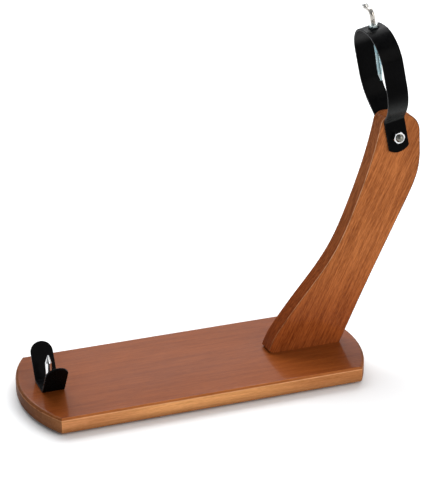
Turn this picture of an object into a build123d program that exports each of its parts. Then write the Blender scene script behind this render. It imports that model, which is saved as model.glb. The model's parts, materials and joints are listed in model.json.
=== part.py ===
from build123d import *
from math import cos, radians, sin, tan
import os

# Ham holder stand: a wooden board with a leaning wooden arm, a hinged steel ring
# with a clamp screw at the top of the arm, and a steel cradle with a spike at
# the board's other end.  Millimetres.  +X runs from the cradle to the arm, +Z is
# up, and the origin is the middle of the stand's own bounding box at floor level.

os.makedirs("parts", exist_ok=True)

# ------------------------------------------------------------------------ board
BOARD_X = -38.0            # middle of the board along X
BOARD_DEPTH = 170.0
BOARD_SIDE = 373.0         # length of the straight front and back edges
BOARD_BULGE = 25.5         # how far each curved end stands out
BOARD_THICK = 20.0
BOARD_ROUND_TOP = 3.5
BOARD_ROUND_BOTTOM = 4.0

FOOT_GAP = 2.0             # height of the board's underside above the floor
FOOT_RADIUS = 9.0
FOOT_POCKET = 1.5          # depth of the pocket that each foot is glued into
FOOT_PLAY = 0.1
FOOT_BEVEL = 0.6
FOOT_X = 152.0             # feet, from the middle of the board
FOOT_Y = 60.0
BOARD_BOTTOM = FOOT_GAP
BOARD_TOP = FOOT_GAP + BOARD_THICK

# -------------------------------------------------------------------------- arm
ARM_THICK = 23.5
ARM_ROUND = 1.6            # softened long edges
ARM_TOP = 308.0
ARM_TOP_BACK_RADIUS = 25.0
ARM_TOP_FRONT_RADIUS = 12.0

# Side view in X from the middle of the board, and in Z.
ARM_TOE = (98.2, BOARD_TOP)
ARM_LIP = (95.2, BOARD_TOP + 3.2)
ARM_LIP_RADIUS = 1.2
ARM_FRONT_CURVE = [
    (220.3, 242), (203.8, 196), (178.8, 142), (147.3, 99.5), (128.8, 77), (110.4, 53), (101.8, 40)
]
ARM_THROAT = (233.3, 290)
ARM_TOP_FRONT = (237, ARM_TOP)
ARM_TOP_BACK = (285.2, ARM_TOP)
ARM_SHOULDER = (288, 256)
ARM_BACK_CURVE = [(229.8, 110.8), (247.7, 147.8), (265.4, 184.4), (282.1, 221)]
ARM_HEEL = (188.8, BOARD_TOP)
ARM_THROAT_SLOPE = (-0.22, -1)
ARM_LIP_SLOPE = (-0.42, -1)
ARM_HEEL_SLOPE = (76, 165)

DOWEL_X = (109.0, 147.0)
DOWEL_RADIUS = 4.0
DOWEL_LENGTH = 32.0
DOWEL_IN_BOARD = 13.0
DOWEL_BEVEL = 0.8
ARM_SCREW_X = (127.0, 168.0)
ARM_SCREW_LENGTH = 60.0
ARM_SCREW_RADIUS = 2.5
ARM_SCREW_HEAD_RADIUS = 5.0
ARM_SCREW_HEAD_HEIGHT = 3.0
ARM_SCREW_PLAY = 0.25

# ------------------------------------------------------------------------- ring
PIVOT_X = BOARD_X + 255.4  # bolt that the ring tilts on
PIVOT_Z = 282.0
RING_LEAN = 12.0           # degrees that the ring leans towards the cradle
PIVOT_FIT = 0.08           # radial play of the bolt in the arm
LEG_HOLE_PLAY = 0.1
STRAP_THICK = 2.5
STRAP_GAP = 0.25           # play between each leg and the arm's side
EDGE_BREAK = 0.4           # broken edges of the steel straps
RING_WIDTH = 26.0          # width of the ring's strap
RING_LEG_BELOW = 20.5      # leg below the bolt
RING_LEG_ABOVE = 21.5      # leg above the bolt, up to the outward bend
RING_LEG_END_RADIUS = 19.0 # curve of the leg's lower end
RING_LEG_CORNER = 2.0
RING_LEG_BEND = 5.0        # outside bend from the leg to the flare
RING_FLARE_ANGLE = 45.0    # lean of the flare from the leg
RING_HALF = 40.4           # half of the ring's outer width
RING_SHOULDER_RADIUS = 56.0
RING_CROWN = 135.5         # outside of the crown above the bolt
RING_CROWN_RADIUS = 36.0
CROWN_HOLE_PLAY = 0.5

M8_RADIUS = 4.0
M8_ACROSS_FLATS = 13.0
M8_NUT_HEIGHT = 6.5
M8_HEAD_HEIGHT = 5.3
M8_HOLE_RADIUS = 4.2
WASHER_RADIUS = 8.0
WASHER_THICK = 1.6
BOLT_IN_NUT = 6.5          # length of the bolt past the front leg
CAP_RADIUS = 5.0           # dome of the cap nut
CAP_CENTRE = 6.5           # height of the dome's centre above the nut's seat
CAP_BORE = 7.0
CAP_TURN = 2.0             # degrees that the nut's flats are turned

# ----------------------------------------------------------------- clamp screw
SPINDLE_LEAN = 10.0        # degrees, a little more upright than the ring
SPINDLE_RADIUS = 3.0       # M6
SPINDLE_FIT = 0.05
SPINDLE_BELOW = 57.0       # rod below the crown's outside
HANDLE_HEIGHT = 20.5       # bent handle above the crown's outside
HANDLE_BEND = 6.5
HANDLE_REACH = 22.0        # spindle axis to the middle of the ball
HANDLE_TURN = 4.0          # degrees that the handle is turned off the Y axis
BALL_RADIUS = 4.1
BALL_SINK = 1.0            # how deep the handle's end goes into the ball
BOSS_ACROSS_FLATS = 9.0
BOSS_HEIGHT = 4.5
POINT_LENGTH = 9.5
POINT_TIP_RADIUS = 0.5
POINT_GAP = 0.3
POINT_STUB_RADIUS = 1.5
POINT_STUB_LENGTH = 5.0
POINT_STUB_FIT = 0.06
POINT_STUB_ROOM = 0.5      # empty end of the stub's bore

# ----------------------------------------------------------------------- cradle
CRADLE_X = BOARD_X - 175.8
CRADLE_WIDTH = 27.0
CRADLE_FLAT = 31.0         # between the two folds, measured underneath
CRADLE_FLARE = 31.5        # degrees that each cheek leans outwards
CRADLE_CHEEK = 46.5        # length of each cheek
CRADLE_BEND = 3.5
CRADLE_TOP_RADIUS = 13.2
CRADLE_SCREW_OFFSET = (8.8, 9.2)
CRADLE_SCREW_RADIUS = 1.75
CRADLE_SCREW_LENGTH = 16.0
CRADLE_SCREW_HEAD_RADIUS = 3.4
CRADLE_SCREW_HEAD_HEIGHT = 2.2
CRADLE_SCREW_PLAY = 0.15

SPIKE_X = BOARD_X - 176.7
SPIKE_RADIUS = 3.7         # plain rod above the bracket
SPIKE_TOP = 61.6
SPIKE_BOTTOM = BOARD_BOTTOM + 0.8
SPIKE_CONE = 9.0
SPIKE_TIP_RADIUS = 0.6
SPIKE_FLANGE_RADIUS = 5.6
SPIKE_FLANGE_HEIGHT = 1.8
SPIKE_NUT_BOTTOM = BOARD_BOTTOM + 1.2
COUNTERBORE_RADIUS = 9.0
COUNTERBORE_DEPTH = 9.0

# ------------------------------------------------------- proportions of fasteners
HEX_FACE = 0.97            # round bearing face, as a share of the across-flats size
SCREW_TIP = 2.5            # length of a wood screw's point, in shank radii
SCREW_TIP_RADIUS = 0.3
CROSS_SIZE = 1.1           # cross recess, in head radii
CROSS_BAR = 0.28           # width of each bar of the cross, as a share of its length
FLAT_HEAD_CROSS_DEPTH = 0.6
PAN_HEAD_CROSS_FLOOR = 0.45
PAN_HEAD_DOME = 0.7

UPWARD = (Align.CENTER, Align.CENTER, Align.MIN)
DOWNWARD = (Align.CENTER, Align.CENTER, Align.MAX)
SPARE = 1.0                # how far a cutting shape runs past what it cuts
SAME = 1e-3                # lengths this close count as equal


def write(node, shape):
    shape.label = node
    export_step(shape, "parts/" + node + ".step")


# ------------------------------------------------------------- shared fasteners
def cylinder_up(radius, height, z=0.0):
    """Cylinder along +Z that starts at height z."""
    return Pos(0, 0, z) * Cylinder(radius, height, align=UPWARD)


def cone_up(bottom_radius, top_radius, height, z=0.0):
    """Cone along +Z that starts at height z."""
    return Pos(0, 0, z) * Cone(bottom_radius, top_radius, height, align=UPWARD)


def hexagon(across_flats, height):
    """Hexagon along +Z from the origin, with its corners chamfered at both ends."""
    flat = across_flats / 2
    corner = flat / cos(radians(30))
    prism = extrude(RegularPolygon(flat, 6, major_radius=False), height)
    trim = chamfer(cylinder_up(corner, height).edges(), corner - flat * HEX_FACE, angle=30)
    return prism & trim


def washer(hole_radius):
    return cylinder_up(WASHER_RADIUS, WASHER_THICK) - cylinder_up(hole_radius, WASHER_THICK)


def cross_recess(size, depth):
    """Cross-shaped driver slot that opens at z = 0 and goes up."""
    bar = Box(size, size * CROSS_BAR, depth, align=UPWARD)
    return bar + Rot(0, 0, 90) * bar


def countersunk_screw(radius, length, head_radius, head_height):
    """Wood screw that points up, with its flat head at z = 0."""
    tip = radius * SCREW_TIP
    head = cone_up(head_radius, radius, head_height)
    shank = cylinder_up(radius, length - tip)
    point = cone_up(radius, SCREW_TIP_RADIUS, tip, length - tip)
    return head + shank + point - cross_recess(head_radius * CROSS_SIZE, head_height * FLAT_HEAD_CROSS_DEPTH)


def pan_screw(radius, length, head_radius, head_height):
    """Wood screw that points down, with its domed head standing on z = 0."""
    tip = radius * SCREW_TIP
    head = cylinder_up(head_radius, head_height)
    dome = fillet(head.edges().sort_by(Axis.Z)[-1], head_height * PAN_HEAD_DOME)
    shank = cylinder_up(radius, length - tip, tip - length)
    point = cone_up(SCREW_TIP_RADIUS, radius, tip, -length)
    slot = Pos(0, 0, head_height * PAN_HEAD_CROSS_FLOOR) * cross_recess(head_radius * CROSS_SIZE, head_height)
    return dome + shank + point - slot


# ------------------------------------------------------------------------ board
def board_outline():
    half_side = BOARD_SIDE / 2
    half_depth = BOARD_DEPTH / 2
    front = Line((-half_side, -half_depth), (half_side, -half_depth))
    right = ThreePointArc(
        (half_side, -half_depth), (half_side + BOARD_BULGE, 0), (half_side, half_depth)
    )
    back = Line((half_side, half_depth), (-half_side, half_depth))
    left = ThreePointArc(
        (-half_side, half_depth), (-half_side - BOARD_BULGE, 0), (-half_side, -half_depth)
    )
    return make_face(Curve() + [front, right, back, left])


def foot_places():
    return {
        "foot_front_left": (BOARD_X - FOOT_X, -FOOT_Y),
        "foot_front_right": (BOARD_X + FOOT_X, -FOOT_Y),
        "foot_back_left": (BOARD_X - FOOT_X, FOOT_Y),
        "foot_back_right": (BOARD_X + FOOT_X, FOOT_Y),
    }


def arm_screw_sink():
    """Countersunk hole through the board, drawn from its underside up."""
    shaft_radius = ARM_SCREW_RADIUS + ARM_SCREW_PLAY
    head_radius = ARM_SCREW_HEAD_RADIUS + ARM_SCREW_PLAY
    return cylinder_up(shaft_radius, BOARD_THICK) + cone_up(head_radius, shaft_radius, ARM_SCREW_HEAD_HEIGHT)


def base_board():
    slab = extrude(board_outline(), BOARD_THICK)
    slab = fillet(slab.edges().group_by(Axis.Z)[-1], BOARD_ROUND_TOP)
    slab = fillet(slab.edges().group_by(Axis.Z)[0], BOARD_ROUND_BOTTOM)
    slab = Pos(BOARD_X, 0, BOARD_BOTTOM) * slab
    for x, y in foot_places().values():
        slab -= Pos(x, y, BOARD_BOTTOM) * cylinder_up(FOOT_RADIUS + FOOT_PLAY, FOOT_POCKET)
    for x in ARM_SCREW_X:
        slab -= Pos(BOARD_X + x, 0, BOARD_BOTTOM) * arm_screw_sink()
    for x in DOWEL_X:
        slab -= Pos(BOARD_X + x, 0, 0) * cylinder_up(DOWEL_RADIUS, DOWEL_IN_BOARD, BOARD_TOP - DOWEL_IN_BOARD)
    slab -= Pos(SPIKE_X, 0, BOARD_BOTTOM) * cylinder_up(COUNTERBORE_RADIUS, COUNTERBORE_DEPTH)
    slab -= Pos(SPIKE_X, 0, BOARD_BOTTOM) * cylinder_up(M8_HOLE_RADIUS, BOARD_THICK)
    for place in cradle_screw_places(BOARD_TOP):
        slab -= place * cylinder_up(CRADLE_SCREW_RADIUS, CRADLE_SCREW_LENGTH, -CRADLE_SCREW_LENGTH)
    return slab


def foot(x, y):
    disc = cylinder_up(FOOT_RADIUS, FOOT_GAP + FOOT_POCKET)
    disc = chamfer(disc.edges().sort_by(Axis.Z)[0], FOOT_BEVEL)
    return Pos(x, y, 0) * disc


# -------------------------------------------------------------------------- arm
def arm_outline():
    front = Spline(ARM_THROAT, *ARM_FRONT_CURVE, ARM_LIP, tangents=(ARM_THROAT_SLOPE, ARM_LIP_SLOPE))
    back = Spline(ARM_HEEL, *ARM_BACK_CURVE, ARM_SHOULDER, tangents=(ARM_HEEL_SLOPE, (0, 1)))
    foot_line = Polyline(ARM_LIP, ARM_TOE, ARM_HEEL)
    top_line = Polyline(ARM_SHOULDER, ARM_TOP_BACK, ARM_TOP_FRONT, ARM_THROAT)
    return make_face(Curve() + [front, back] + foot_line.edges() + top_line.edges())


def arm():
    side_plane = Plane((BOARD_X, ARM_THICK / 2, 0), x_dir=(1, 0, 0), z_dir=(0, -1, 0))
    body = extrude(side_plane * arm_outline(), ARM_THICK)
    top_corners = body.edges().filter_by(Axis.Y).group_by(Axis.Z)[-1]
    body = fillet(top_corners.sort_by(Axis.X)[-1], ARM_TOP_BACK_RADIUS)
    top_corners = body.edges().filter_by(Axis.Y).filter_by(lambda e: e.center().Z > ARM_TOP - SAME)
    body = fillet(top_corners.sort_by(Axis.X)[0], ARM_TOP_FRONT_RADIUS)
    lip = body.edges().filter_by(Axis.Y).filter_by(lambda e: abs(e.center().Z - ARM_LIP[1]) < SAME)
    body = fillet(lip, ARM_LIP_RADIUS)
    rims = body.edges().filter_by(
        lambda e: abs(abs(e.center().Y) - ARM_THICK / 2) < SAME and e.center().Z > BOARD_TOP + SAME
    )
    body = fillet(rims, ARM_ROUND)
    bore = Rot(90, 0, 0) * Cylinder(M8_RADIUS + PIVOT_FIT, ARM_THICK + SPARE)
    body -= Pos(PIVOT_X, 0, PIVOT_Z) * bore
    for x in DOWEL_X:
        body -= Pos(BOARD_X + x, 0, BOARD_TOP) * cylinder_up(DOWEL_RADIUS, DOWEL_LENGTH - DOWEL_IN_BOARD)
    for screw in arm_screws():
        body -= screw
    return body


def arm_dowels():
    dowel = cylinder_up(DOWEL_RADIUS, DOWEL_LENGTH)
    dowel = chamfer(dowel.edges().filter_by(GeomType.CIRCLE), DOWEL_BEVEL)
    return [Pos(BOARD_X + x, 0, BOARD_TOP - DOWEL_IN_BOARD) * dowel for x in DOWEL_X]


def arm_screws():
    screw = countersunk_screw(
        ARM_SCREW_RADIUS, ARM_SCREW_LENGTH, ARM_SCREW_HEAD_RADIUS, ARM_SCREW_HEAD_HEIGHT
    )
    return [Pos(BOARD_X + x, 0, BOARD_BOTTOM) * screw for x in ARM_SCREW_X]


# ----------------------------------------------------------------- steel straps
def square_strap(path, width):
    """Strap with square ends. Its outside is drawn in Y and Z, with its inside on the left."""
    side = make_face(Wire(path.edges()).offset_2d(STRAP_THICK, side=Side.LEFT))
    return extrude(Plane.YZ * side, width / 2, both=True)


def corner_edges(strap):
    """Short edges through the strap's thickness, at its ends."""
    return strap.edges().filter_by(lambda e: abs(e.length - STRAP_THICK) < SAME)


def break_edges(strap, width):
    """Chamfers the strap's rim, and leaves its corners and the lines where its bends start."""

    def on_rim(edge):
        across = edge.geom_type == GeomType.LINE and abs(edge.length - width) < SAME
        return not across and abs(edge.length - STRAP_THICK) > SAME

    return chamfer(strap.edges().filter_by(on_rim), EDGE_BREAK)


# ----------------------------------------------------------------------- cradle
def cradle_screw_places(z):
    along, across = CRADLE_SCREW_OFFSET
    return [Pos(CRADLE_X + along, across, z), Pos(CRADLE_X - along, -across, z)]


def cradle_bracket():
    fold = CRADLE_FLAT / 2
    lean = radians(CRADLE_FLARE)
    tip_y = fold + CRADLE_CHEEK * sin(lean)
    tip_z = CRADLE_CHEEK * cos(lean)
    path = FilletPolyline((-tip_y, tip_z), (-fold, 0), (fold, 0), (tip_y, tip_z), radius=CRADLE_BEND)
    strap = square_strap(path, CRADLE_WIDTH)
    strap = fillet(corner_edges(strap), CRADLE_TOP_RADIUS)
    strap = Pos(CRADLE_X, 0, BOARD_TOP) * break_edges(strap, CRADLE_WIDTH)
    through = STRAP_THICK + 2 * SPARE
    strap -= Pos(SPIKE_X, 0, BOARD_TOP - SPARE) * cylinder_up(M8_HOLE_RADIUS, through)
    for place in cradle_screw_places(BOARD_TOP - SPARE):
        strap -= place * cylinder_up(CRADLE_SCREW_RADIUS + CRADLE_SCREW_PLAY, through)
    return strap


def cradle_screws():
    screw = pan_screw(
        CRADLE_SCREW_RADIUS, CRADLE_SCREW_LENGTH, CRADLE_SCREW_HEAD_RADIUS, CRADLE_SCREW_HEAD_HEIGHT
    )
    return [place * screw for place in cradle_screw_places(BOARD_TOP + STRAP_THICK)]


def spike():
    cone_base = SPIKE_TOP - SPIKE_CONE
    seat = BOARD_TOP + STRAP_THICK
    stud = cylinder_up(M8_RADIUS, seat - SPIKE_BOTTOM, SPIKE_BOTTOM)
    flange = cylinder_up(SPIKE_FLANGE_RADIUS, SPIKE_FLANGE_HEIGHT, seat)
    shank = cylinder_up(SPIKE_RADIUS, cone_base - seat, seat)
    point = cone_up(SPIKE_RADIUS, SPIKE_TIP_RADIUS, SPIKE_CONE, cone_base)
    return Pos(SPIKE_X, 0, 0) * (stud + flange + shank + point)


def spike_washer():
    top = BOARD_BOTTOM + COUNTERBORE_DEPTH
    return Pos(SPIKE_X, 0, top - WASHER_THICK) * washer(M8_HOLE_RADIUS)


def spike_nut():
    top = BOARD_BOTTOM + COUNTERBORE_DEPTH - WASHER_THICK
    height = top - SPIKE_NUT_BOTTOM
    nut = hexagon(M8_ACROSS_FLATS, height) - cylinder_up(M8_RADIUS, height)
    return Pos(SPIKE_X, 0, SPIKE_NUT_BOTTOM) * nut


# ------------------------------------------------------------------------- ring
RING_PLACE = Pos(PIVOT_X, 0, PIVOT_Z) * Rot(0, -RING_LEAN, 0)
CROWN_POINT = RING_PLACE * Pos(0, 0, RING_CROWN)
SPINDLE_PLACE = CROWN_POINT * Rot(0, RING_LEAN - SPINDLE_LEAN, 0)
LEG_OUTSIDE = ARM_THICK / 2 + STRAP_GAP + STRAP_THICK


def ring_path():
    """Outside of the strap in Y and Z, from the foot of one leg to the foot of the other."""
    flare_run = (RING_HALF - LEG_OUTSIDE) / tan(radians(RING_FLARE_ANGLE))
    back = [
        (LEG_OUTSIDE, -RING_LEG_BELOW),
        (LEG_OUTSIDE, RING_LEG_ABOVE),
        (RING_HALF, RING_LEG_ABOVE + flare_run),
        (RING_HALF, RING_CROWN),
    ]
    front = [(-y, z) for y, z in reversed(back)]
    radii = [RING_LEG_BEND, RING_SHOULDER_RADIUS, RING_CROWN_RADIUS]
    return FilletPolyline(*back, *front, radius=radii + radii[::-1])


def leg_end_waste():
    """What is cut off square leg ends to leave them curved."""
    block = Box(RING_WIDTH + SPARE, 4 * LEG_OUTSIDE, RING_LEG_END_RADIUS, align=UPWARD)
    curve = Pos(0, 0, RING_LEG_END_RADIUS) * Rot(90, 0, 0) * Cylinder(RING_LEG_END_RADIUS, 4 * LEG_OUTSIDE)
    return Pos(0, 0, -RING_LEG_BELOW) * (block - curve)


def ring_strap():
    strap = square_strap(ring_path(), RING_WIDTH) - leg_end_waste()
    strap = fillet(corner_edges(strap), RING_LEG_CORNER)
    strap = break_edges(strap, RING_WIDTH)
    strap -= Rot(90, 0, 0) * Cylinder(M8_RADIUS + LEG_HOLE_PLAY, 4 * LEG_OUTSIDE)
    strap = RING_PLACE * strap
    return strap - SPINDLE_PLACE * Cylinder(SPINDLE_RADIUS + CROWN_HOLE_PLAY, 4 * STRAP_THICK)


def along_pivot(y, shape, toward):
    """Stands a shape drawn along +Z on the pivot axis at y, pointing toward +Y or -Y."""
    return RING_PLACE * Pos(0, y, 0) * Rot(-90 * toward, 0, 0) * shape


def pivot_bolt():
    head_seat = LEG_OUTSIDE + WASHER_THICK
    shank_length = head_seat + LEG_OUTSIDE + BOLT_IN_NUT
    head = hexagon(M8_ACROSS_FLATS, M8_HEAD_HEIGHT)
    return along_pivot(head_seat, head + cylinder_up(M8_RADIUS, shank_length, -shank_length), 1)


def pivot_washer():
    return along_pivot(LEG_OUTSIDE, washer(M8_RADIUS + LEG_HOLE_PLAY), 1)


def pivot_nut():
    """Domed cap nut on the front leg."""
    wall = cylinder_up(CAP_RADIUS, CAP_CENTRE)
    dome = Pos(0, 0, CAP_CENTRE) * Sphere(CAP_RADIUS) & cylinder_up(CAP_RADIUS, 2 * CAP_RADIUS, CAP_CENTRE)
    nut = Rot(0, 0, CAP_TURN) * hexagon(M8_ACROSS_FLATS, M8_NUT_HEIGHT) + (wall + dome)
    return along_pivot(-LEG_OUTSIDE, nut - cylinder_up(M8_RADIUS, CAP_BORE), -1)


# ---------------------------------------------------------------------- spindle
def spindle_boss():
    """Welded nut whose seat follows the crown."""
    nut = Pos(0, 0, -SPARE) * hexagon(BOSS_ACROSS_FLATS, BOSS_HEIGHT + SPARE)
    nut = SPINDLE_PLACE * (nut - Cylinder(SPINDLE_RADIUS + SPINDLE_FIT, 4 * BOSS_HEIGHT))
    below_crown = Box(2 * BOSS_ACROSS_FLATS, 2 * BOSS_ACROSS_FLATS, BOSS_HEIGHT, align=DOWNWARD)
    return nut - CROWN_POINT * below_crown


def handle_ball():
    return Pos(0, HANDLE_REACH, HANDLE_HEIGHT) * Sphere(BALL_RADIUS)


def spindle():
    bend_start = HANDLE_HEIGHT - HANDLE_BEND
    handle_end = HANDLE_REACH - BALL_RADIUS + BALL_SINK
    slant = HANDLE_BEND * cos(radians(45))
    rod = Line((0, 0, -SPINDLE_BELOW), (0, 0, bend_start))
    bend = ThreePointArc(
        (0, 0, bend_start), (0, HANDLE_BEND - slant, bend_start + slant), (0, HANDLE_BEND, HANDLE_HEIGHT)
    )
    handle = Line((0, HANDLE_BEND, HANDLE_HEIGHT), (0, handle_end, HANDLE_HEIGHT))
    path = Wire([rod.edge(), bend.edge(), handle.edge()])
    body = sweep(Plane((0, 0, -SPINDLE_BELOW)) * Circle(SPINDLE_RADIUS), path=path)
    bore_length = POINT_STUB_LENGTH + POINT_STUB_ROOM
    body -= cylinder_up(POINT_STUB_RADIUS + POINT_STUB_FIT, bore_length, -SPINDLE_BELOW)
    body -= handle_ball()
    return SPINDLE_PLACE * Rot(0, 0, -HANDLE_TURN) * body


def spindle_ball():
    return SPINDLE_PLACE * Rot(0, 0, -HANDLE_TURN) * handle_ball()


def spindle_point():
    """Loose conical nose with a stub that turns in the end of the rod."""
    base = -SPINDLE_BELOW - POINT_GAP
    cone = cone_up(POINT_TIP_RADIUS, SPINDLE_RADIUS, POINT_LENGTH, base - POINT_LENGTH)
    stub = cylinder_up(POINT_STUB_RADIUS, POINT_STUB_LENGTH + POINT_GAP, base)
    return SPINDLE_PLACE * (cone + stub)


# ---------------------------------------------------------------------- writing
write("base_board", base_board())
write("arm", arm())
write("arm_dowels", Compound(arm_dowels()))
write("arm_screws", Compound(arm_screws()))
for node, (foot_x, foot_y) in foot_places().items():
    write(node, foot(foot_x, foot_y))
write("cradle_bracket", cradle_bracket())
write("cradle_screws", Compound(cradle_screws()))
write("spike", spike())
write("spike_washer", spike_washer())
write("spike_nut", spike_nut())
write("ring_strap", ring_strap())
write("pivot_bolt", pivot_bolt())
write("pivot_washer", pivot_washer())
write("pivot_nut", pivot_nut())
write("spindle_boss", spindle_boss())
write("spindle", spindle())
write("spindle_ball", spindle_ball())
write("spindle_point", spindle_point())
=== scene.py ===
import bpy
import json
from math import cos, pi, radians, sin
from mathutils import Euler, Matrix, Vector, noise


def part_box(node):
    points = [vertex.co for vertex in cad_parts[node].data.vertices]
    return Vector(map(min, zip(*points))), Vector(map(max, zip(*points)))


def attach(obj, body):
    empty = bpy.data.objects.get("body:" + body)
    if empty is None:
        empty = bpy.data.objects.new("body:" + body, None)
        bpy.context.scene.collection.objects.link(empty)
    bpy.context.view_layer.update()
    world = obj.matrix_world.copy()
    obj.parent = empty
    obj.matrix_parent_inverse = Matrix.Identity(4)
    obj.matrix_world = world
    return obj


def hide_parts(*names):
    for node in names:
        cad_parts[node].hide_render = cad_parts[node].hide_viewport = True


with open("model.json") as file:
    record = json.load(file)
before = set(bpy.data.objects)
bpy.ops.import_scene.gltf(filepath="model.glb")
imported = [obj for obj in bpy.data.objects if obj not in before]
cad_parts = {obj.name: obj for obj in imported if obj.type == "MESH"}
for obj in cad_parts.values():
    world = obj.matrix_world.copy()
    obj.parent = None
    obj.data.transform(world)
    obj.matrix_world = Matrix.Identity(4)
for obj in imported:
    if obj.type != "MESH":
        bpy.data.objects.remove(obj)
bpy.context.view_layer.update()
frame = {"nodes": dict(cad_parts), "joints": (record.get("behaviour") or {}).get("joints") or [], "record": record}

# Ham holder stand. Metres, in the CAD model's own frame: +X from the cradle to the arm, +Z up.

# ---------------------------------------------------------------------- camera
CAMERA_PLACE = (-0.7538, -2.0241, 1.1030)
CAMERA_PITCH = 66.531      # degrees up from looking straight down
CAMERA_YAW = -20.523       # degrees from looking along +Y
CAMERA_LENS = 145.16       # mm
CAMERA_SENSOR = 36.0       # mm, along the picture's longer side

# ----------------------------------------------------------------------- light
# The room is dark towards the photo's camera, which keeps the black straps deep, and bright
# behind the stand, which gives the varnished top its pale sheen.
WORLD_COLOUR = (0.93, 0.965, 1.0)
WORLD_AXIS = (0.35, 0.94, 0.0)  # from the dark side to the bright one
WORLD_FRONT = 0.18         # strength of the dark side
WORLD_BACK = 1.01          # and of the bright one
WORLD_SEEN = 1.1           # strength of the plain backdrop that a camera sees
SOFTBOXES = (
    {
        "name": "key_softbox",
        "place": (1.6, -2.2, 1.5),
        "target": (0.05, 0.0, 0.15),
        "width": 2.4,
        "height": 2.2,
        "power": 46.0,
        "colour": (1.0, 0.97, 0.93),
    },
    {
        "name": "back_softbox",
        "place": (0.3, 1.6, 2.0),
        "target": (0.05, 0.0, 0.05),
        "width": 2.8,
        "height": 1.8,
        "power": 74.0,
        "colour": (1.0, 1.0, 1.0),
    },
)
FLOOR_SIZE = 16.0
FLOOR_COLOUR = (0.90, 0.90, 0.90)
FLOOR_GLOW = 0.55          # of the far floor, so that it stays white out of the lamps' reach
FLOOR_GLOW_RANGE = (1.3, 3.2)  # distances over which the glow rises

# -------------------------------------------------------------------- geometry
DOME_RADIUS = 0.005        # of the pivot's cap nut
ROD_RADIUS = 0.003         # the clamp screw is M6
ROD_SEGMENTS = 30
ROD_TIP_TAPER = 0.0004     # the radius lost at the lower end
THREAD_PITCH = 0.001
THREAD_DEPTH = 0.00055
THREAD_FLATS = 1.35        # over 1, it cuts the wave off into flat crests and roots
THREAD_FADE = 0.0012       # run-out at each end of the thread
THREAD_STEPS = 8           # rings for each turn
THREAD_ABOVE = 0.0105      # thread above the crown, up to just under the bend
BEND_RADIUS = 0.0065       # of the rod's axis, at the handle
BEND_STEPS = 12
ROD_INTO_BALL = 0.8        # how far short of the ball's centre the rod ends, in ball radii
WELD_RADIUS = 0.0056       # of the weld's ring round the boss
WELD_BEAD = 0.0011
WELD_SEGMENTS = 10
WELD_SINK = 0.15           # share of the bead's radius that its middle lies under the crown
WELD_RIPPLES = 22
RIPPLE_STEPS = 6
RIPPLE_SWELL = 0.16
LUMP_SWELL = 0.1
LUMP_SCALE = 3

# --------------------------------------------------------------------- colours
WHITE = (1.0, 1.0, 1.0)

# along the grain, across it, noise detail, warp: streaks, bands, fine lines, short dashes
GRAIN_LAYERS = (
    (6.0, 50.0, 3.0, 0.5),
    (16.0, 200.0, 2.0, 0.3),
    (24.0, 540.0, 2.0, 0.0),
    (150.0, 1000.0, 1.0, 0.0),
)
GRAIN_CONTRAST = (0.36, 0.64)

BOARD_GRAIN = 0.0          # slope of the grain
BOARD_TINT = (0.64, 0.57, 0.50)  # of the darkest grain
BOARD_WEIGHTS = (0.22, 0.26, 0.27, 0.25)
BOARD = {
    # long sides, lighter than the top partly in tone and partly by painted light
    "side_left": (0.68, 0.295, 0.120),
    "side_middle": (0.83, 0.395, 0.152),
    "side_right": (0.58, 0.238, 0.088),
    # painted shade near the floor
    "side_low": (0.44, 0.185, 0.070),
    # painted highlight lines at the arrises
    "side_line": (0.85, 0.42, 0.20),
    # painted shade on the upper part of the rounded edge
    "side_round": (0.44, 0.140, 0.040),
    # the ends, darker partly in tone and partly by painted shade
    "end": (0.122, 0.042, 0.0155),
    # a patchy painted highlight band across the middle of the ends
    "end_seam": (0.30, 0.13, 0.060),
    "end_line": (0.34, 0.14, 0.060),
    "end_round": (0.165, 0.058, 0.020),
    "top_left": (0.205, 0.050, 0.0092),
    "top": (0.250, 0.062, 0.0115),
}
# ranges of the normal's upward part, from 0 on the sides to 1 on the top
BOARD_HIGHLIGHT_UP = (0.04, 0.15, 0.28, 0.42)
BOARD_ROUND_SHADE_UP = (0.28, 0.5)
BOARD_TOP_UP = (0.93, 0.99)
BOARD_VARNISH_UP = (0.93, 0.998)

ARM_GRAIN = radians(65.0)
ARM_TINT = (0.42, 0.33, 0.26)
ARM_WEIGHTS = (0.12, 0.13, 0.42, 0.33)
ARM = {
    # painted shade at the foot
    "side_foot": (0.40, 0.098, 0.022),
    "side": (0.52, 0.172, 0.050),
    "side_head": (0.40, 0.130, 0.038),
    # the narrow faces, darker by painted shade, and more so at the foot
    "narrow_foot": (0.25, 0.056, 0.012),
    "narrow": (0.33, 0.108, 0.036),
    # painted highlight along the front arris
    "line_foot": (0.46, 0.185, 0.078),
    "line": (0.80, 0.42, 0.235),
    # painted shade along the back arris
    "back_arris": (0.085, 0.022, 0.006),
}
# ranges of the normal's sideways part, from 0 on the narrow faces to 1 on the sides
ARM_SIDE_ACROSS = (0.5, 0.8)
ARM_HIGHLIGHT_ACROSS = (0.35, 0.5, 0.72, 0.9)
ARM_BACK_SHADE_ACROSS = (0.25, 0.45, 0.90, 0.985)
ARM_VARNISH_ACROSS = (0.3, 0.9)

ENAMEL = {
    "deep": (0.0010, 0.0010, 0.0011),
    "thin": (0.0022, 0.0022, 0.0024),
    # painted sheen where the enamel faces up
    "dust": (0.006, 0.006, 0.0065),
    # painted reflection of the floor inside the crown
    "inner": (0.050, 0.050, 0.051),
    # painted reflection of the floor on the flares
    "flare": (0.019, 0.020, 0.0195),
    # painted highlight along the edges
    "rubbed": (0.030, 0.031, 0.033),
}
ENAMEL_IOR = 1.095

# painted dark reflection on the cap nut's dome
NUT_DOME = (0.20, 0.20, 0.175)
NUT_DOME_EDGE = (1.02, 1.08)  # in dome radii
NUT_DOME_ROUGHER = 0.22


def joint(name):
    return next(j for j in frame["joints"] if j["name"] == name)


def shift(start, *stations):
    """Places along an axis, from their distances past a start."""
    return [start + station for station in stations]


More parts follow.
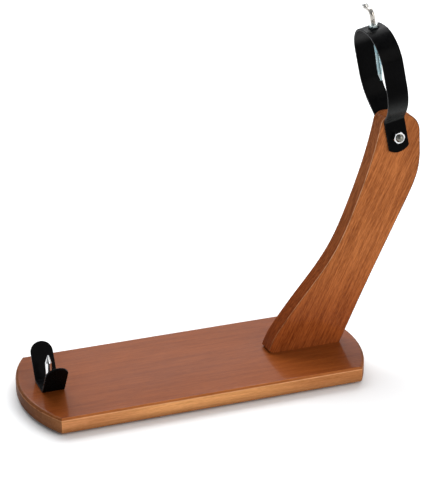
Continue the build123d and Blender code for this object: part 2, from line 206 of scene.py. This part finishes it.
# ------------------------------------------------------------------- materials
class Finish:
    """A procedural material under construction. Most methods return an output socket."""

    def __init__(self, name):
        self.material = bpy.data.materials.new(name)
        self.material.use_nodes = True
        self.tree = self.material.node_tree
        self.tree.nodes.clear()
        self.shader = self.add("ShaderNodeBsdfPrincipled")
        output = self.add("ShaderNodeOutputMaterial")
        self.tree.links.new(self.shader.outputs["BSDF"], output.inputs["Surface"])
        self.place = self.add("ShaderNodeTexCoord").outputs["Object"]

    def add(self, kind, **settings):
        made = self.tree.nodes.new(kind)
        for key, value in settings.items():
            setattr(made, key, value)
        return made

    def put(self, socket, value):
        """Links a socket, or sets a plain value."""
        if isinstance(value, bpy.types.NodeSocket):
            self.tree.links.new(value, socket)
        elif hasattr(value, "__len__") and len(value) == 3 and len(socket.default_value) == 4:
            socket.default_value = (*value, 1.0)
        else:
            socket.default_value = value

    def surface(self, **values):
        """Feeds the shader's own sockets, named with _ for a space."""
        for key, value in values.items():
            self.put(self.shader.inputs[key.replace("_", " ")], value)

    def along(self, grain, across, slope=0.0):
        """Object coordinates turned by slope about Y, then scaled along X and across it."""
        turned = self.add("ShaderNodeVectorRotate", rotation_type="Y_AXIS")
        self.put(turned.inputs["Vector"], self.place)
        turned.inputs["Angle"].default_value = slope
        scaled = self.add("ShaderNodeVectorMath", operation="MULTIPLY")
        self.put(scaled.inputs[0], turned.outputs["Vector"])
        scaled.inputs[1].default_value = (grain, across, across)
        return scaled.outputs["Vector"]

    def noise(self, vector, scale=1.0, detail=2.0, roughness=0.5, warp=0.0):
        made = self.add("ShaderNodeTexNoise")
        self.put(made.inputs["Vector"], vector)
        made.inputs["Scale"].default_value = scale
        made.inputs["Detail"].default_value = detail
        made.inputs["Roughness"].default_value = roughness
        made.inputs["Distortion"].default_value = warp
        return made.outputs["Fac"]

    def span(self, value, low, high, to_low=0.0, to_high=1.0):
        """Maps low..high to to_low..to_high, smoothly and clamped."""
        made = self.add("ShaderNodeMapRange", interpolation_type="SMOOTHSTEP")
        self.put(made.inputs["Value"], value)
        made.inputs["From Min"].default_value = low
        made.inputs["From Max"].default_value = high
        made.inputs["To Min"].default_value = to_low
        made.inputs["To Max"].default_value = to_high
        return made.outputs["Result"]

    def band(self, value, low, inner_low, inner_high, high):
        """1 between the inner bounds, falling to 0 at the outer ones."""
        rise = self.span(value, low, inner_low)
        return self.both(rise, self.span(value, inner_high, high, 1.0, 0.0))

    def maths(self, operation, first, second=0.0):
        made = self.add("ShaderNodeMath", operation=operation)
        self.put(made.inputs[0], first)
        self.put(made.inputs[1], second)
        return made.outputs["Value"]

    def both(self, first, second):
        """The part that two masks share."""
        return self.maths("MULTIPLY", first, second)

    def blend(self, share, first, second, mode="MIX"):
        made = self.add("ShaderNodeMix", data_type="RGBA", blend_type=mode)
        self.put(made.inputs["Factor"], share)
        self.put(made.inputs[6], first)
        self.put(made.inputs[7], second)
        return made.outputs[2]

    def part(self, vector, axis):
        apart = self.add("ShaderNodeSeparateXYZ")
        self.put(apart.inputs["Vector"], vector)
        return apart.outputs[axis]

    def at(self, axis):
        """Object coordinate along an axis."""
        return self.part(self.place, axis)

    def normal(self, axis):
        """The object's own normal along an axis, -1 to 1."""
        return self.part(self.add("ShaderNodeTexCoord").outputs["Normal"], axis)

    def facing(self, axis):
        return self.maths("ABSOLUTE", self.normal(axis))

    def bump(self, height, strength, distance, onto=None):
        made = self.add("ShaderNodeBump")
        made.inputs["Strength"].default_value = strength
        made.inputs["Distance"].default_value = distance
        self.put(made.inputs["Height"], height)
        if onto is not None:
            self.put(made.inputs["Normal"], onto)
        return made.outputs["Normal"]


def wood_grain(finish, slope, colour, dark_tint, weights):
    """Tints a colour with grain that runs along X turned by slope, and adds bump and roughness."""
    layers = [
        finish.noise(finish.along(grain, across, slope), 1.0, detail, 0.5, warp)
        for grain, across, detail, warp in GRAIN_LAYERS
    ]
    share = 0.0
    for layer, weight in zip(layers, weights):
        share = finish.maths("ADD", finish.span(layer, *GRAIN_CONTRAST, 0.0, weight), share)
    tint = finish.blend(share, dark_tint, WHITE)

    fine, dashes = layers[2:]
    pores = finish.bump(finish.span(dashes, 0.30, 0.5), 0.35, 0.00012)
    smudge = finish.noise(finish.along(14.0, 22.0, slope), 1.0, 3.0)
    varnish = finish.noise(finish.along(20.0, 45.0, slope))
    finish.surface(
        Base_Color=finish.blend(1.0, colour, tint, "MULTIPLY"),
        Roughness=finish.span(smudge, 0.3, 0.7, 0.42, 0.56),
        Normal=finish.bump(fine, 0.15, 0.0001, pores),
        Coat_Normal=finish.bump(varnish, 0.12, 0.0004),
    )


def board_wood(name):
    """Stained hardwood: a glossy top, a rounded edge with painted shade, painted highlight lines at the arrises, a
    patchy painted highlight band across the ends, long sides lighter partly in tone and partly by painted light
    with painted shade near the floor, and ends darker partly in tone and partly by painted shade.
    """
    finish = Finish(name)
    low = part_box("base_board")[0]
    along, across, height = (finish.at(axis) for axis in "XYZ")
    up = finish.normal("Z")
    level = finish.maths("SQRT", finish.maths("SUBTRACT", 1.0, finish.maths("MULTIPLY", up, up)))
    end = finish.maths("POWER", finish.maths("DIVIDE", finish.facing("X"), level), 3.0)

    rightwards = finish.span(along, *shift(low.x, 0.05, 0.25))
    middle = finish.band(along, *shift(low.x, 0.06, 0.17, 0.23, 0.35))
    # Painted shade darkens the long sides near the floor.
    above_floor_shade = finish.span(height, *shift(low.z, 0.001, 0.012))
    # The long sides are lighter than the top partly in tone and partly by painted light.
    side = finish.blend(rightwards, BOARD["side_left"], BOARD["side_right"])
    side = finish.blend(middle, side, BOARD["side_middle"])
    side = finish.blend(above_floor_shade, BOARD["side_low"], side)
    # The ends are darker partly in tone and partly by painted shade.
    colour = finish.blend(end, side, BOARD["end"])

    # A patchy painted highlight band runs across the middle of the ends.
    patchy = finish.span(finish.noise(finish.place, 60.0), 0.42, 0.60, 0.0, 0.8)
    highlight_band_mask = finish.band(height, *shift(low.z, 0.0065, 0.0075, 0.0085, 0.0095))
    colour = finish.blend(finish.both(finish.both(end, patchy), highlight_band_mask), colour, BOARD["end_seam"])

    # A painted highlight line runs along the lower part of the rounded edge, over the sides and ends.
    line = finish.blend(end, BOARD["side_line"], BOARD["end_line"])
    colour = finish.blend(finish.band(up, *BOARD_HIGHLIGHT_UP), colour, line)
    # Painted shade darkens the upper part of the rounded edge.
    rounded_edge_shade = finish.blend(end, BOARD["side_round"], BOARD["end_round"])
    colour = finish.blend(finish.span(up, *BOARD_ROUND_SHADE_UP), colour, rounded_edge_shade)
    inwards = finish.span(along, *shift(low.x, 0.01, 0.10))
    top = finish.blend(inwards, BOARD["top_left"], BOARD["top"])
    colour = finish.blend(finish.span(up, *BOARD_TOP_UP), colour, top)
    wood_grain(finish, BOARD_GRAIN, colour, BOARD_TINT, BOARD_WEIGHTS)

    # The varnish is thinner towards the cradle's end and the front.
    kept = finish.both(
        finish.span(along, *shift(low.x, 0.01, 0.11), 0.70, 1.0),
        finish.span(across, *shift(low.y, 0.0, 0.08), 0.68, 1.0),
    )
    finish.surface(
        Coat_Weight=finish.both(finish.span(up, *BOARD_VARNISH_UP, 0.10, 1.0), kept),
        Coat_Roughness=0.12,
        Coat_IOR=1.22,
        Specular_IOR_Level=0.02,
    )
    return finish.material


def arm_wood(name):
    """The same wood with less varnish, with painted shade at its foot and on its narrow faces, a painted highlight
    along the front arris and painted shade along the back one.
    """
    finish = Finish(name)
    low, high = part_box("arm")
    height = finish.at("Z")
    across = finish.facing("Y")
    backward = finish.normal("X")
    # Painted shade darkens the arm towards its foot.
    above_foot_shade = finish.span(height, *shift(low.z, 0.008, 0.138))
    shade_fades_slowly = finish.span(height, *shift(low.z, 0.008, 0.228))
    head = finish.span(finish.at("X"), *shift(high.x, -0.028, 0.002))

    side = finish.blend(above_foot_shade, ARM["side_foot"], ARM["side"])
    side = finish.blend(head, side, ARM["side_head"])
    # Painted shade darkens the narrow faces.
    narrow = finish.blend(shade_fades_slowly, ARM["narrow_foot"], ARM["narrow"])
    colour = finish.blend(finish.span(across, *ARM_SIDE_ACROSS), narrow, side)

    # A painted highlight runs along the front arris, and painted shade along the back one.
    front = finish.span(backward, -0.45, -0.15, 1.0, 0.12)
    line = finish.blend(above_foot_shade, ARM["line_foot"], ARM["line"])
    colour = finish.blend(finish.both(finish.band(across, *ARM_HIGHLIGHT_ACROSS), front), colour, line)
    # Painted shade along the back arris.
    back = finish.both(finish.band(across, *ARM_BACK_SHADE_ACROSS), finish.span(backward, 0.10, 0.35))
    colour = finish.blend(back, colour, ARM["back_arris"])
    wood_grain(finish, ARM_GRAIN, colour, ARM_TINT, ARM_WEIGHTS)
    finish.surface(
        Coat_Weight=finish.span(across, *ARM_VARNISH_ACROSS, 0.08, 0.3),
        Coat_Roughness=0.14,
        Coat_IOR=1.3,
        Specular_IOR_Level=0.0,
    )
    return finish.material


def black_enamel(name):
    """Satin black enamel with a blotchy painted sheen where it faces up, painted reflections of the floor where
    the ring faces it, and painted highlights along its edges.
    """
    finish = Finish(name)
    pivot_height = joint("ring_tilt")["pos_m"][2]
    height = finish.at("Z")
    up = finish.normal("Z")
    peel = finish.noise(finish.place, 900.0)
    dust = finish.noise(finish.place, 140.0, 5.0, 0.65)
    wide = finish.noise(finish.place, 24.0)
    colour = finish.blend(finish.span(wide, 0.3, 0.7), ENAMEL["deep"], ENAMEL["thin"])

    # A blotchy painted sheen where the enamel faces up.
    up_sheen = finish.both(finish.span(up, 0.25, 0.9), finish.span(dust, 0.3, 0.7, 0.25, 0.6))
    colour = finish.blend(up_sheen, colour, ENAMEL["dust"])
    # A painted reflection of the floor where the crown faces down.
    inner = finish.both(
        finish.span(up, -0.12, -0.5, 0.0, 0.65),
        finish.span(height, *shift(pivot_height, 0.048, 0.078)),
    )
    colour = finish.blend(inner, colour, ENAMEL["inner"])
    # A painted reflection of the floor on the strap's outward bends, where they face down.
    flare = finish.both(
        finish.span(up, -0.05, -0.4),
        finish.band(height, *shift(pivot_height, 0.008, 0.018, 0.038, 0.058)),
    )
    colour = finish.blend(flare, colour, ENAMEL["flare"])
    # A patchy painted highlight along the strap's edges.
    rubbed = finish.both(
        finish.span(finish.facing("X"), 0.55, 0.8),
        finish.span(dust, 0.35, 0.65, 0.15, 0.9),
    )
    finish.surface(
        Base_Color=finish.blend(rubbed, colour, ENAMEL["rubbed"]),
        Roughness=finish.span(dust, 0.35, 0.75, 0.24, 0.38),
        Normal=finish.bump(peel, 0.10, 0.00005),
        IOR=ENAMEL_IOR,
    )
    return finish.material


def plated(name, tint, other, painted_warm_light, roughness, grain, bump):
    """Bright plated steel with a drawn grain, with painted warm light above the crown; the nut's dome gets a
    painted dark reflection and is rougher.
    """
    finish = Finish(name)
    patches = finish.noise(finish.place, 120.0, 3.0, 0.6)
    lines = finish.noise(finish.along(grain * 0.12, grain))
    colour = finish.blend(finish.span(patches, 0.35, 0.65), tint, other)
    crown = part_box("ring_strap")[1].z
    # Painted warm light above the crown.
    above = finish.span(finish.at("Z"), *shift(crown, -0.004, 0.006))
    colour = finish.blend(above, colour, painted_warm_light)

    # The cap nut's dome gets a painted dark reflection and a rougher surface.
    low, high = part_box("pivot_nut")
    middle = (low + high) / 2
    from_dome = finish.add("ShaderNodeVectorMath", operation="DISTANCE")
    finish.put(from_dome.inputs[0], finish.place)
    from_dome.inputs[1].default_value = (middle.x, low.y + DOME_RADIUS, middle.z)
    edge = [DOME_RADIUS * share for share in NUT_DOME_EDGE]
    dome = finish.span(from_dome.outputs["Value"], *edge, 1.0, 0.0)
    rough = finish.span(lines, 0.3, 0.7, *roughness)
    finish.surface(
        Base_Color=finish.blend(dome, colour, NUT_DOME),
        Roughness=finish.maths("ADD", rough, finish.maths("MULTIPLY", dome, NUT_DOME_ROUGHER)),
        Normal=finish.bump(lines, bump, 0.00002),
        Metallic=1.0,
    )
    return finish.material


def rubber(name):
    finish = Finish(name)
    speck = finish.noise(finish.place, 700.0, 3.0, 0.6)
    mix = finish.span(speck, 0.3, 0.7)
    finish.surface(
        Base_Color=finish.blend(mix, (0.018, 0.018, 0.018), (0.035, 0.035, 0.036)),
        Roughness=finish.span(speck, 0.3, 0.7, 0.72, 0.9),
        Normal=finish.bump(speck, 0.4, 0.0001),
        Specular_IOR_Level=0.3,
    )
    return finish.material


FINISHES = {
    "board_wood": board_wood("board_wood_varnished"),
    "arm_wood": arm_wood("arm_wood_varnished"),
    "black_paint": black_enamel("black_enamel"),
    "zinc_steel": plated(
        "zinc_plated",
        tint=(0.36, 0.55, 0.60),
        other=(0.50, 0.62, 0.64),
        painted_warm_light=(0.46, 0.43, 0.39),
        roughness=(0.14, 0.26),
        grain=1500.0,
        bump=0.25,
    ),
    "chrome_steel": plated(
        "chrome_plated",
        tint=(0.74, 0.75, 0.76),
        other=(0.80, 0.80, 0.80),
        painted_warm_light=(0.86, 0.85, 0.83),
        roughness=(0.05, 0.12),
        grain=900.0,
        bump=0.05,
    ),
    "foot_rubber": rubber("foot_rubber_matt"),
}


# ---------------------------------------------------------------------- pieces
def new_piece(name, rings, slot, body):
    """A skin over equally long rings of points, with a fan at each end."""
    count = len(rings[0])
    points = [p for ring in rings for p in ring]
    faces = []
    for i in range(len(rings) - 1):
        for j in range(count):
            a, b = i * count + j, i * count + (j + 1) % count
            faces.append((a, b, b + count, a + count))
    for last, order in ((0, -1), (len(rings) - 1, 1)):
        points.append(sum(rings[last], Vector()) / count)
        for j in range(count):
            pair = (last * count + j, last * count + (j + 1) % count)
            faces.append((*pair[::order], len(points) - 1))
    mesh = bpy.data.meshes.new(name)
    mesh.from_pydata(points, [], faces)
    mesh.validate()
    mesh.update()
    mesh.materials.append(FINISHES[slot])
    for polygon in mesh.polygons:
        polygon.use_smooth = True

    piece = bpy.data.objects.new(name, mesh)
    bpy.context.scene.collection.objects.link(piece)
    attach(piece, body)
    return piece


def circle(middle, first, second, radii):
    """Points round a middle, from one direction towards another, with a radius for each."""
    count = len(radii)
    angles = [2 * pi * j / count for j in range(count)]
    return [middle + (first * cos(a) + second * sin(a)) * r for a, r in zip(angles, radii)]


def thread_radii(s, below):
    """The rod's radii round its section at s, which is 0 at the crown and -below at the tip."""
    from_tip = (s + below) / THREAD_FADE
    from_top = (THREAD_ABOVE - s) / THREAD_FADE
    depth = THREAD_DEPTH * min(1.0, from_tip, from_top)
    taper = ROD_TIP_TAPER * max(0.0, 1 - from_tip)
    radii = []
    for j in range(ROD_SEGMENTS):
        turns = s / THREAD_PITCH - j / ROD_SEGMENTS
        wave = max(-1.0, min(1.0, THREAD_FLATS * sin(2 * pi * turns)))
        radii.append(ROD_RADIUS - depth * (0.5 - 0.5 * wave) - taper)
    return radii


def clamp_rod():
    """The bent clamp screw, with its thread cut along the straight part."""
    turn = joint("clamp_turn")
    crown = Vector(turn["pos_m"])
    up = -Vector(turn["axis"]).normalized()
    ball_low, ball_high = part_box("spindle_ball")
    ball_radius = (ball_high - ball_low).x / 2
    ball = (ball_low + ball_high) / 2 - crown
    height = ball.dot(up)
    reach = ball - up * height
    out = reach.normalized()
    side = up.cross(out)
    lean = Vector((0, 0, 1)).angle(up)
    below = (crown.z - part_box("spindle")[0].z - ROD_RADIUS * sin(lean)) / cos(lean)

    rings = []
    s = -below
    while s < THREAD_ABOVE:
        rings.append(circle(crown + up * s, out, side, thread_radii(s, below)))
        s += THREAD_PITCH / THREAD_STEPS

    # The plain part: a short straight, the bend, and the end inside the ball.
    bend_start = crown + up * (height - BEND_RADIUS)
    bend_centre = bend_start + out * BEND_RADIUS
    stations = [(crown + up * THREAD_ABOVE, up), (bend_start, up)]
    for k in range(1, BEND_STEPS + 1):
        a = pi / 2 * k / BEND_STEPS
        middle = bend_centre + (up * sin(a) - out * cos(a)) * BEND_RADIUS
        stations.append((middle, up * cos(a) + out * sin(a)))
    end = crown + up * height + out * (reach.length - ball_radius * ROD_INTO_BALL)
    stations.append((end, out))
    for middle, direction in stations:
        rings.append(circle(middle, side.cross(direction), side, [ROD_RADIUS] * ROD_SEGMENTS))
    rod = new_piece("clamp_screw_rod", rings, "zinc_steel", "clamp_screw")
    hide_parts("spindle")


def boss_weld():
    """Rippled weld bead, painted with the ring, that holds the threaded boss on the crown."""
    turn = joint("clamp_turn")
    crown = Vector(turn["pos_m"])
    up = -Vector(turn["axis"]).normalized()
    across = Vector((0, 1, 0))
    along = across.cross(up)
    steps = WELD_RIPPLES * RIPPLE_STEPS
    rings = []
    for i in range(steps + 1):
        angle = 2 * pi * i / steps
        outward = along * cos(angle) + across * sin(angle)
        ripple = RIPPLE_SWELL * sin(angle * WELD_RIPPLES)
        lump = LUMP_SWELL * noise.noise(outward * LUMP_SCALE)
        middle = crown + outward * WELD_RADIUS - up * (WELD_BEAD * WELD_SINK)
        swell = WELD_BEAD * (1 + ripple + lump)
        rings.append(circle(middle, outward, up, [swell] * WELD_SEGMENTS))
    new_piece("boss_weld", rings, "black_paint", "ring")


def finish_cad_nodes():
    slots = {part["node"]: part["material_slot"] for part in frame["record"]["subparts"]}
    for node, piece in frame["nodes"].items():
        piece.data.materials.clear()
        piece.data.materials.append(FINISHES[slots[node]])


# ----------------------------------------------------------------------- stage
def room():
    """A plain backdrop for the camera, and a room that is brighter behind for the surfaces."""
    world = bpy.data.worlds.new("studio")
    bpy.context.scene.world = world
    world.use_nodes = True
    nodes, links = world.node_tree.nodes, world.node_tree.links
    towards = nodes.new("ShaderNodeVectorMath")
    towards.operation = "DOT_PRODUCT"
    towards.inputs[1].default_value = WORLD_AXIS
    links.new(nodes.new("ShaderNodeTexCoord").outputs["Generated"], towards.inputs[0])
    strength = nodes.new("ShaderNodeMapRange")
    links.new(towards.outputs["Value"], strength.inputs["Value"])
    strength.inputs["From Min"].default_value = -1.0
    strength.inputs["From Max"].default_value = 1.0
    strength.inputs["To Min"].default_value = WORLD_FRONT
    strength.inputs["To Max"].default_value = WORLD_BACK
    shown = nodes.new("ShaderNodeMix")
    links.new(nodes.new("ShaderNodeLightPath").outputs["Is Camera Ray"], shown.inputs["Factor"])
    links.new(strength.outputs["Result"], shown.inputs[2])
    shown.inputs[3].default_value = WORLD_SEEN
    background = nodes["Background"]
    background.inputs["Color"].default_value = (*WORLD_COLOUR, 1.0)
    links.new(shown.outputs[0], background.inputs["Strength"])


def softbox(name, place, target, width, height, power, colour):
    light = bpy.data.lights.new(name, "AREA")
    light.shape = "RECTANGLE"
    light.size, light.size_y = width, height
    light.energy = power
    light.color = colour
    lamp = bpy.data.objects.new(name, light)
    lamp.location = place
    lamp.rotation_euler = (Vector(target) - Vector(place)).to_track_quat("-Z", "Y").to_euler()
    lamp.visible_camera = False
    bpy.context.scene.collection.objects.link(lamp)


def paper_floor():
    half = FLOOR_SIZE / 2
    corners = [(-half, -half, 0), (half, -half, 0), (half, half, 0), (-half, half, 0)]
    mesh = bpy.data.meshes.new("floor")
    mesh.from_pydata(corners, [], [(0, 1, 2, 3)])
    floor = bpy.data.objects.new("floor", mesh)
    bpy.context.scene.collection.objects.link(floor)
    paper = Finish("floor_paper")
    distance = paper.add("ShaderNodeVectorMath", operation="LENGTH")
    paper.put(distance.inputs[0], paper.place)
    glow = paper.span(distance.outputs["Value"], *FLOOR_GLOW_RANGE, 0.0, FLOOR_GLOW)
    paper.surface(
        Base_Color=FLOOR_COLOUR,
        Roughness=0.9,
        Specular_IOR_Level=0.1,
        Emission_Color=WHITE,
        Emission_Strength=glow,
    )
    mesh.materials.append(paper.material)


def photo_camera():
    scene = bpy.context.scene
    data = bpy.data.cameras.new("camera")
    data.lens = CAMERA_LENS
    data.sensor_width = CAMERA_SENSOR
    camera = bpy.data.objects.new("camera", data)
    camera.location = CAMERA_PLACE
    camera.rotation_euler = Euler((radians(CAMERA_PITCH), 0, radians(CAMERA_YAW)))
    scene.collection.objects.link(camera)
    scene.camera = camera
    scene.view_settings.view_transform = "Standard"


finish_cad_nodes()
clamp_rod()
boss_weld()
room()
for lamp in SOFTBOXES:
    softbox(**lamp)
paper_floor()
photo_camera()
